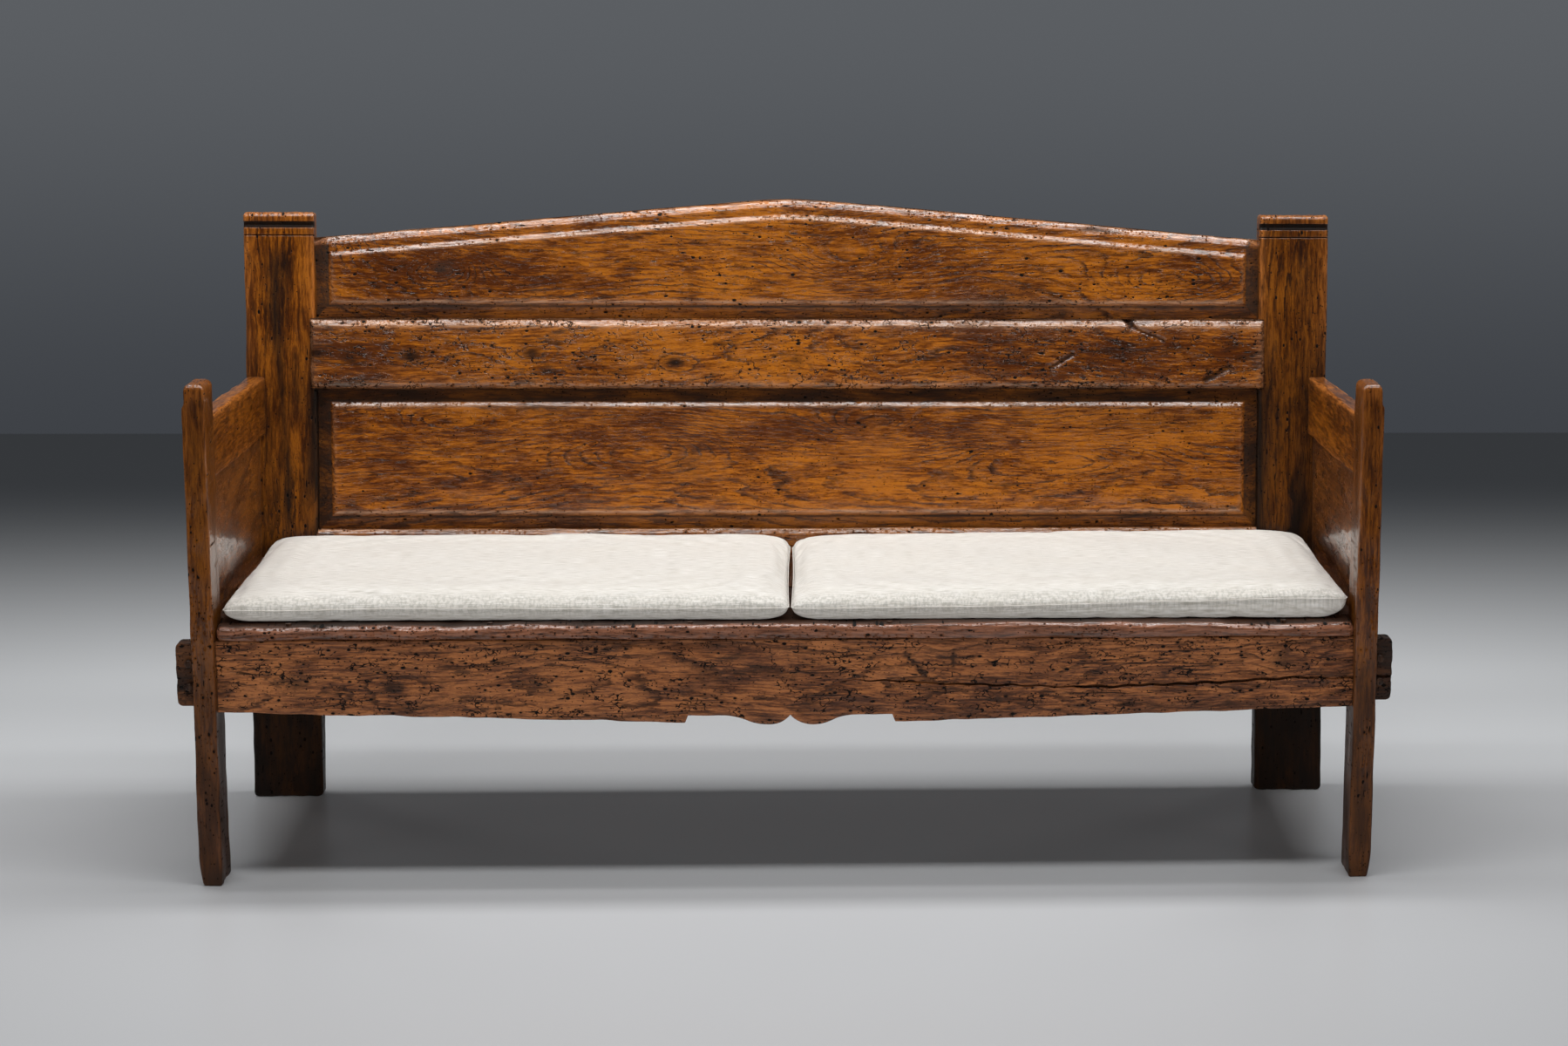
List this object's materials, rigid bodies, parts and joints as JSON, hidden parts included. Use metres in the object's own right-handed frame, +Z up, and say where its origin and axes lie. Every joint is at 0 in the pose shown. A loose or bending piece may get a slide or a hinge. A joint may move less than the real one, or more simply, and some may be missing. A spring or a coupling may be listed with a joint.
{
  "type": "panelled settle bench",
  "caption": "Long oak settle with a leaning panelled back under a gabled crest, closed panelled arms, a scalloped apron with keyed through tenons, and loose seat cushions.",
  "frame": {"origin": "on the floor, under the middle of the bounding box", "axes": "+X to the right as seen from the front, +Y to the back, +Z up"},
  "size_m": [1.956, 0.666, 1.0499],
  "materials": {
    "waxed_oak": "waxed, semi-gloss, dark with age",
    "worn_oak": "dull, worm-eaten and cracked",
    "peg_oak": "dark, rubbed at the ends",
    "cream_cloth": "matt ribbed weave"
  },
  "bodies": {
    "frame": {"crest_panel": "waxed_oak", "middle_rail": "waxed_oak", "lower_panel": "waxed_oak", "bottom_rail": "waxed_oak", "seat_front_plank": "waxed_oak", "seat_rear_plank": "waxed_oak", "left_front_leg": "waxed_oak", "left_rear_post": "waxed_oak", "left_arm_rail": "waxed_oak", "left_side_panel": "waxed_oak", "left_side_rail": "waxed_oak", "left_seat_bearer": "waxed_oak", "right_front_leg": "waxed_oak", "right_rear_post": "waxed_oak", "right_arm_rail": "waxed_oak", "right_side_panel": "waxed_oak", "right_side_rail": "waxed_oak", "right_seat_bearer": "waxed_oak", "apron": "worn_oak", "apron_patch": "worn_oak", "left_tenon_keys": "peg_oak", "right_tenon_keys": "peg_oak", "back_pegs": "peg_oak", "left_side_pegs": "peg_oak", "right_side_pegs": "peg_oak", "seat_pegs": "peg_oak"},
    "left_cushion": {"left_cushion": "cream_cloth"},
    "right_cushion": {"right_cushion": "cream_cloth"}
  },
  "joints": [
    {"name": "left_cushion_lift", "type": "slide", "parent": "frame", "child": "left_cushion", "axis": [0, 0, 1], "range_m": [0, 0.42]},
    {"name": "right_cushion_lift", "type": "slide", "parent": "frame", "child": "right_cushion", "axis": [0, 0, 1], "range_m": [0, 0.42]}
  ]
}
